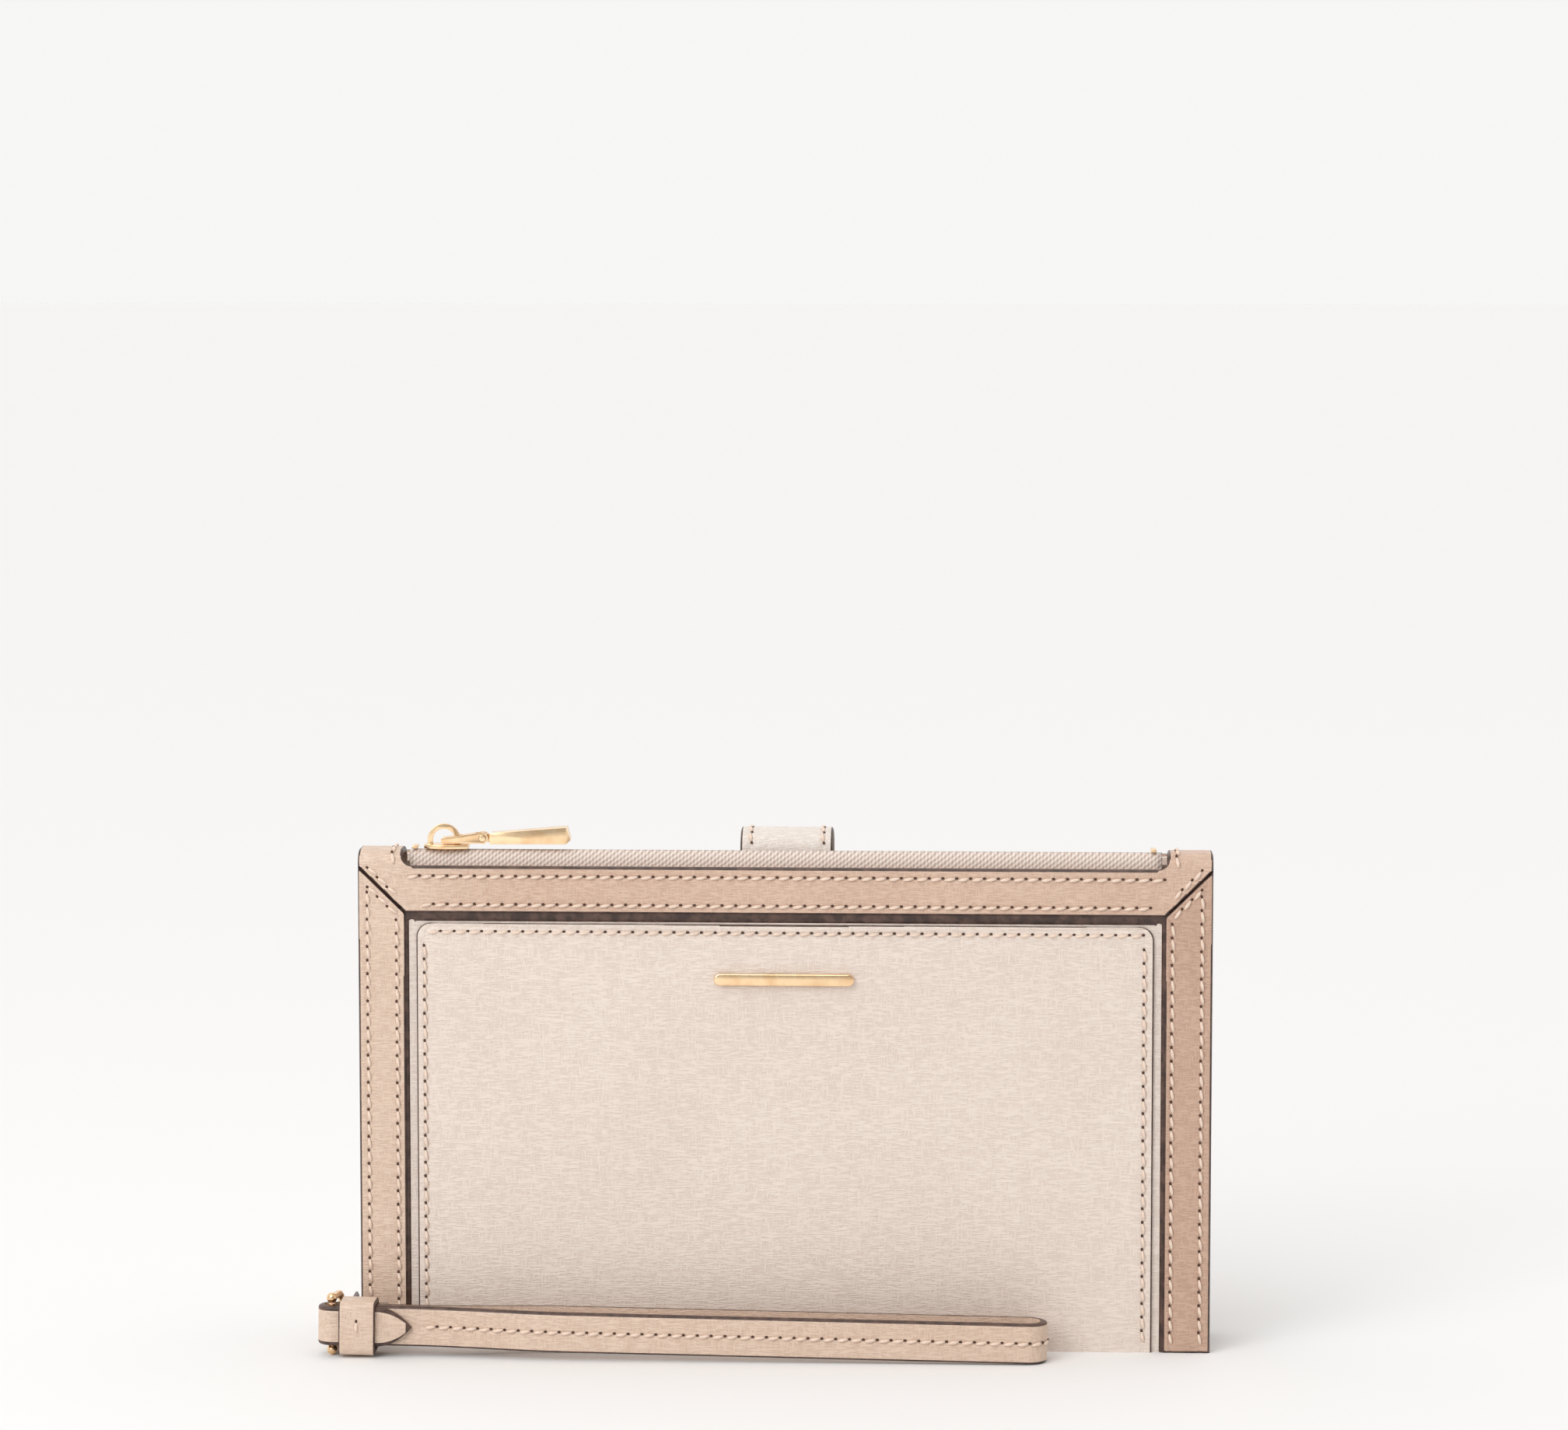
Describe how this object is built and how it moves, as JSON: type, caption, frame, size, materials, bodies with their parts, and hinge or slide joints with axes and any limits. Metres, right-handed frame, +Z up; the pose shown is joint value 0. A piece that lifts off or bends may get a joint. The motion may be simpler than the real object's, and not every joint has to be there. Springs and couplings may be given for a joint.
{
  "type": "wristlet wallet",
  "caption": "Slim zipped pouch of pale grained leather in a darker leather frame, with a hinged card leaf behind, a snap tab over the top and a wrist strap on a ball-ended shackle.",
  "frame": {"origin": "middle of the base, on the surface that the wallet stands on", "axes": "+X along the wallet's length, to the right seen from the front; -Y towards the front panel; +Z up from the base to the zip"},
  "size_m": [0.1911, 0.0373, 0.113],
  "materials": {
    "tan_leather": "cross-hatch grained, satin",
    "pale_leather": "cross-hatch grained, satin",
    "zip_cloth": "woven tape",
    "lining": "plain woven",
    "gold_metal": "polished, gold plated"
  },
  "bodies": {
    "pouch": {"frame_top": "tan_leather", "frame_left": "tan_leather", "frame_right": "tan_leather", "front_backing": "pale_leather", "front_panel": "pale_leather", "bar_badge": "gold_metal", "pouch_inner_wall": "pale_leather", "gusset_left": "tan_leather", "gusset_right": "tan_leather", "pouch_lining": "lining", "bill_pocket": "pale_leather", "base_spine": "pale_leather", "zip_tape_front": "zip_cloth", "zip_coil_front": "zip_cloth", "zip_tape_back": "zip_cloth", "zip_coil_back": "zip_cloth", "zip_stop_closed": "gold_metal", "zip_stop_open": "gold_metal", "snap_socket": "gold_metal", "strap_tab": "tan_leather"},
    "leaf": {"leaf_frame_left": "tan_leather", "leaf_frame_right": "tan_leather", "leaf_frame_top": "tan_leather", "leaf_panel": "pale_leather", "leaf_backing": "pale_leather", "leaf_board": "pale_leather", "card_slot_1": "pale_leather", "card_slot_2": "pale_leather", "card_slot_3": "pale_leather", "snap_tab": "pale_leather"},
    "flap": {"snap_flap": "pale_leather", "snap_cap": "gold_metal", "snap_stud": "gold_metal"},
    "slider": {"zip_slider": "gold_metal"},
    "link": {"pull_link": "gold_metal"},
    "pull": {"pull_tab": "gold_metal", "pull_pin": "gold_metal"},
    "shackle": {"shackle_bow": "gold_metal", "shackle_pin": "gold_metal"},
    "strap": {"strap_band": "tan_leather", "strap_end_tab": "tan_leather", "strap_keeper": "tan_leather"}
  },
  "joints": [
    {"name": "leaf_hinge", "type": "hinge", "parent": "pouch", "child": "leaf", "pos_m": [0, 0.0111, 0.0003], "axis": [-1, 0, 0], "range_deg": [0, 90]},
    {"name": "flap_flex", "type": "hinge", "parent": "leaf", "child": "flap", "pos_m": [0, 0.0012, 0.1065], "axis": [1, 0, 0], "range_deg": [0, 15]},
    {"name": "zip_slide", "type": "slide", "parent": "pouch", "child": "slider", "axis": [1, 0, 0], "range_m": [0, 0.1461]},
    {"name": "link_swing", "type": "hinge", "parent": "slider", "child": "link", "pos_m": [-0.0735, -0.0051, 0.1095], "axis": [0, -1, 0], "range_deg": [0, 90]},
    {"name": "pull_swing", "type": "hinge", "parent": "link", "child": "pull", "pos_m": [-0.0651, -0.0051, 0.11002], "axis": [0, -1, 0], "range_deg": [0, 90]},
    {"name": "shackle_swing", "type": "hinge", "parent": "pouch", "child": "shackle", "pos_m": [-0.0954, -0.014, 0.00675], "axis": [0, 0, -1], "range_deg": [0, 75]},
    {"name": "strap_swing", "type": "hinge", "parent": "shackle", "child": "strap", "pos_m": [-0.0966, -0.0205, 0.00675], "axis": [0, 0, -1], "range_deg": [0, 100]}
  ]
}
